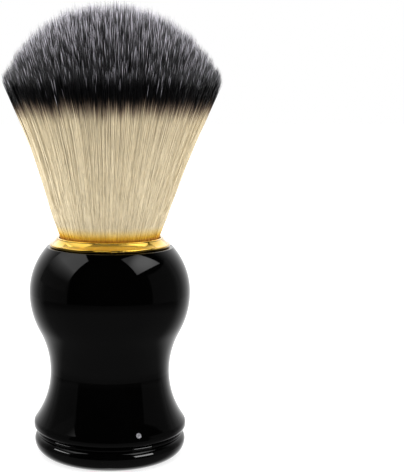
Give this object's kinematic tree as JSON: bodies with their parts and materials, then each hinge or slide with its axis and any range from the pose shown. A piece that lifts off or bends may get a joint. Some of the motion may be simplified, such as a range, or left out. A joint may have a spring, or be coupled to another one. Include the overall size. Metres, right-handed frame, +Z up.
{
  "type": "shaving brush",
  "caption": "Upright shaving brush: waisted gloss handle on a round base, metal collar, and a two-tone fibre knot whose tufts splay outwards when pressed.",
  "frame": {"origin": "centre of the flat ring on the base that the brush stands on", "axes": "+Z up along the brush's axis of symmetry, from the base to the tips; -Y is the front, with the inlay stud; +X is the brush's right seen from the front"},
  "size_m": [0.0506, 0.0506, 0.1055],
  "materials": {
    "handle": "gloss",
    "base": "gloss",
    "steel": "satin",
    "gold": "polished",
    "adhesive": "gloss",
    "resin": "gloss",
    "thread": "matte",
    "fibre_root": "satin",
    "stud": "satin",
    "fibre": "satin"
  },
  "bodies": {
    "handle": {"handle_body": "handle", "base_cap": "base", "weight_slug": "steel", "collar_ring": "gold", "socket_adhesive": "adhesive", "knot_plug": "resin", "root_binding": "thread", "fibre_roots": "fibre_root", "inlay_stud": "stud"},
    "outer_tuft_01": {"outer_tuft_01": "fibre"},
    "outer_tuft_02": {"outer_tuft_02": "fibre"},
    "outer_tuft_03": {"outer_tuft_03": "fibre"},
    "outer_tuft_04": {"outer_tuft_04": "fibre"},
    "outer_tuft_05": {"outer_tuft_05": "fibre"},
    "outer_tuft_06": {"outer_tuft_06": "fibre"},
    "outer_tuft_07": {"outer_tuft_07": "fibre"},
    "outer_tuft_08": {"outer_tuft_08": "fibre"},
    "outer_tuft_09": {"outer_tuft_09": "fibre"},
    "outer_tuft_10": {"outer_tuft_10": "fibre"},
    "outer_tuft_11": {"outer_tuft_11": "fibre"},
    "outer_tuft_12": {"outer_tuft_12": "fibre"},
    "middle_tuft_01": {"middle_tuft_01": "fibre"},
    "middle_tuft_02": {"middle_tuft_02": "fibre"},
    "middle_tuft_03": {"middle_tuft_03": "fibre"},
    "middle_tuft_04": {"middle_tuft_04": "fibre"},
    "middle_tuft_05": {"middle_tuft_05": "fibre"},
    "middle_tuft_06": {"middle_tuft_06": "fibre"},
    "middle_tuft_07": {"middle_tuft_07": "fibre"},
    "middle_tuft_08": {"middle_tuft_08": "fibre"},
    "core_tuft_01": {"core_tuft_01": "fibre"},
    "core_tuft_02": {"core_tuft_02": "fibre"},
    "core_tuft_03": {"core_tuft_03": "fibre"},
    "core_tuft_04": {"core_tuft_04": "fibre"}
  },
  "joints": [
    {"name": "splay", "type": "hinge", "parent": "handle", "child": "outer_tuft_01", "pos_m": [0.01164, 0.00312, 0.0533], "axis": [-0.2588, 0.9659, 0], "range_deg": [0, 50], "stiffness_Nm_per_rad": 0.014},
    {"name": "outer_splay_02", "type": "hinge", "parent": "handle", "child": "outer_tuft_02", "pos_m": [0.00852, 0.00852, 0.0533], "axis": [-0.7071, 0.7071, 0], "range_deg": [0, 50], "stiffness_Nm_per_rad": 0.014},
    {"name": "outer_splay_03", "type": "hinge", "parent": "handle", "child": "outer_tuft_03", "pos_m": [0.00312, 0.01164, 0.0533], "axis": [-0.9659, 0.2588, 0], "range_deg": [0, 50], "stiffness_Nm_per_rad": 0.014},
    {"name": "outer_splay_04", "type": "hinge", "parent": "handle", "child": "outer_tuft_04", "pos_m": [-0.00312, 0.01164, 0.0533], "axis": [-0.9659, -0.2588, 0], "range_deg": [0, 50], "stiffness_Nm_per_rad": 0.014},
    {"name": "outer_splay_05", "type": "hinge", "parent": "handle", "child": "outer_tuft_05", "pos_m": [-0.00852, 0.00852, 0.0533], "axis": [-0.7071, -0.7071, 0], "range_deg": [0, 50], "stiffness_Nm_per_rad": 0.014},
    {"name": "outer_splay_06", "type": "hinge", "parent": "handle", "child": "outer_tuft_06", "pos_m": [-0.01164, 0.00312, 0.0533], "axis": [-0.2588, -0.9659, 0], "range_deg": [0, 50], "stiffness_Nm_per_rad": 0.014},
    {"name": "outer_splay_07", "type": "hinge", "parent": "handle", "child": "outer_tuft_07", "pos_m": [-0.01164, -0.00312, 0.0533], "axis": [0.2588, -0.9659, 0], "range_deg": [0, 50], "stiffness_Nm_per_rad": 0.014},
    {"name": "outer_splay_08", "type": "hinge", "parent": "handle", "child": "outer_tuft_08", "pos_m": [-0.00852, -0.00852, 0.0533], "axis": [0.7071, -0.7071, 0], "range_deg": [0, 50], "stiffness_Nm_per_rad": 0.014},
    {"name": "outer_splay_09", "type": "hinge", "parent": "handle", "child": "outer_tuft_09", "pos_m": [-0.00312, -0.01164, 0.0533], "axis": [0.9659, -0.2588, 0], "range_deg": [0, 50], "stiffness_Nm_per_rad": 0.014},
    {"name": "outer_splay_10", "type": "hinge", "parent": "handle", "child": "outer_tuft_10", "pos_m": [0.00312, -0.01164, 0.0533], "axis": [0.9659, 0.2588, 0], "range_deg": [0, 50], "stiffness_Nm_per_rad": 0.014},
    {"name": "outer_splay_11", "type": "hinge", "parent": "handle", "child": "outer_tuft_11", "pos_m": [0.00852, -0.00852, 0.0533], "axis": [0.7071, 0.7071, 0], "range_deg": [0, 50], "stiffness_Nm_per_rad": 0.014},
    {"name": "outer_splay_12", "type": "hinge", "parent": "handle", "child": "outer_tuft_12", "pos_m": [0.01164, -0.00312, 0.0533], "axis": [0.2588, 0.9659, 0], "range_deg": [0, 50], "stiffness_Nm_per_rad": 0.014},
    {"name": "middle_splay_01", "type": "hinge", "parent": "handle", "child": "middle_tuft_01", "pos_m": [0.00753, 0.00312, 0.0533], "axis": [-0.3827, 0.9239, 0], "range_deg": [0, 35], "stiffness_Nm_per_rad": 0.014},
    {"name": "middle_splay_02", "type": "hinge", "parent": "handle", "child": "middle_tuft_02", "pos_m": [0.00312, 0.00753, 0.0533], "axis": [-0.9239, 0.3827, 0], "range_deg": [0, 35], "stiffness_Nm_per_rad": 0.014},
    {"name": "middle_splay_03", "type": "hinge", "parent": "handle", "child": "middle_tuft_03", "pos_m": [-0.00312, 0.00753, 0.0533], "axis": [-0.9239, -0.3827, 0], "range_deg": [0, 35], "stiffness_Nm_per_rad": 0.014},
    {"name": "middle_splay_04", "type": "hinge", "parent": "handle", "child": "middle_tuft_04", "pos_m": [-0.00753, 0.00312, 0.0533], "axis": [-0.3827, -0.9239, 0], "range_deg": [0, 35], "stiffness_Nm_per_rad": 0.014},
    {"name": "middle_splay_05", "type": "hinge", "parent": "handle", "child": "middle_tuft_05", "pos_m": [-0.00753, -0.00312, 0.0533], "axis": [0.3827, -0.9239, 0], "range_deg": [0, 35], "stiffness_Nm_per_rad": 0.014},
    {"name": "middle_splay_06", "type": "hinge", "parent": "handle", "child": "middle_tuft_06", "pos_m": [-0.00312, -0.00753, 0.0533], "axis": [0.9239, -0.3827, 0], "range_deg": [0, 35], "stiffness_Nm_per_rad": 0.014},
    {"name": "middle_splay_07", "type": "hinge", "parent": "handle", "child": "middle_tuft_07", "pos_m": [0.00312, -0.00753, 0.0533], "axis": [0.9239, 0.3827, 0], "range_deg": [0, 35], "stiffness_Nm_per_rad": 0.014},
    {"name": "middle_splay_08", "type": "hinge", "parent": "handle", "child": "middle_tuft_08", "pos_m": [0.00753, -0.00312, 0.0533], "axis": [0.3827, 0.9239, 0], "range_deg": [0, 35], "stiffness_Nm_per_rad": 0.014},
    {"name": "core_splay_01", "type": "hinge", "parent": "handle", "child": "core_tuft_01", "pos_m": [0.003, 0.003, 0.0533], "axis": [-0.7071, 0.7071, 0], "range_deg": [0, 20], "stiffness_Nm_per_rad": 0.014},
    {"name": "core_splay_02", "type": "hinge", "parent": "handle", "child": "core_tuft_02", "pos_m": [-0.003, 0.003, 0.0533], "axis": [-0.7071, -0.7071, 0], "range_deg": [0, 20], "stiffness_Nm_per_rad": 0.014},
    {"name": "core_splay_03", "type": "hinge", "parent": "handle", "child": "core_tuft_03", "pos_m": [-0.003, -0.003, 0.0533], "axis": [0.7071, -0.7071, 0], "range_deg": [0, 20], "stiffness_Nm_per_rad": 0.014},
    {"name": "core_splay_04", "type": "hinge", "parent": "handle", "child": "core_tuft_04", "pos_m": [0.003, -0.003, 0.0533], "axis": [0.7071, 0.7071, 0], "range_deg": [0, 20], "stiffness_Nm_per_rad": 0.014}
  ],
  "couplings": [
    {"joint": "outer_splay_02", "follows": "splay", "ratio": 1},
    {"joint": "outer_splay_03", "follows": "splay", "ratio": 1},
    {"joint": "outer_splay_04", "follows": "splay", "ratio": 1},
    {"joint": "outer_splay_05", "follows": "splay", "ratio": 1},
    {"joint": "outer_splay_06", "follows": "splay", "ratio": 1},
    {"joint": "outer_splay_07", "follows": "splay", "ratio": 1},
    {"joint": "outer_splay_08", "follows": "splay", "ratio": 1},
    {"joint": "outer_splay_09", "follows": "splay", "ratio": 1},
    {"joint": "outer_splay_10", "follows": "splay", "ratio": 1},
    {"joint": "outer_splay_11", "follows": "splay", "ratio": 1},
    {"joint": "outer_splay_12", "follows": "splay", "ratio": 1},
    {"joint": "middle_splay_01", "follows": "splay", "ratio": 0.7},
    {"joint": "middle_splay_02", "follows": "splay", "ratio": 0.7},
    {"joint": "middle_splay_03", "follows": "splay", "ratio": 0.7},
    {"joint": "middle_splay_04", "follows": "splay", "ratio": 0.7},
    {"joint": "middle_splay_05", "follows": "splay", "ratio": 0.7},
    {"joint": "middle_splay_06", "follows": "splay", "ratio": 0.7},
    {"joint": "middle_splay_07", "follows": "splay", "ratio": 0.7},
    {"joint": "middle_splay_08", "follows": "splay", "ratio": 0.7},
    {"joint": "core_splay_01", "follows": "splay", "ratio": 0.4},
    {"joint": "core_splay_02", "follows": "splay", "ratio": 0.4},
    {"joint": "core_splay_03", "follows": "splay", "ratio": 0.4},
    {"joint": "core_splay_04", "follows": "splay", "ratio": 0.4}
  ]
}
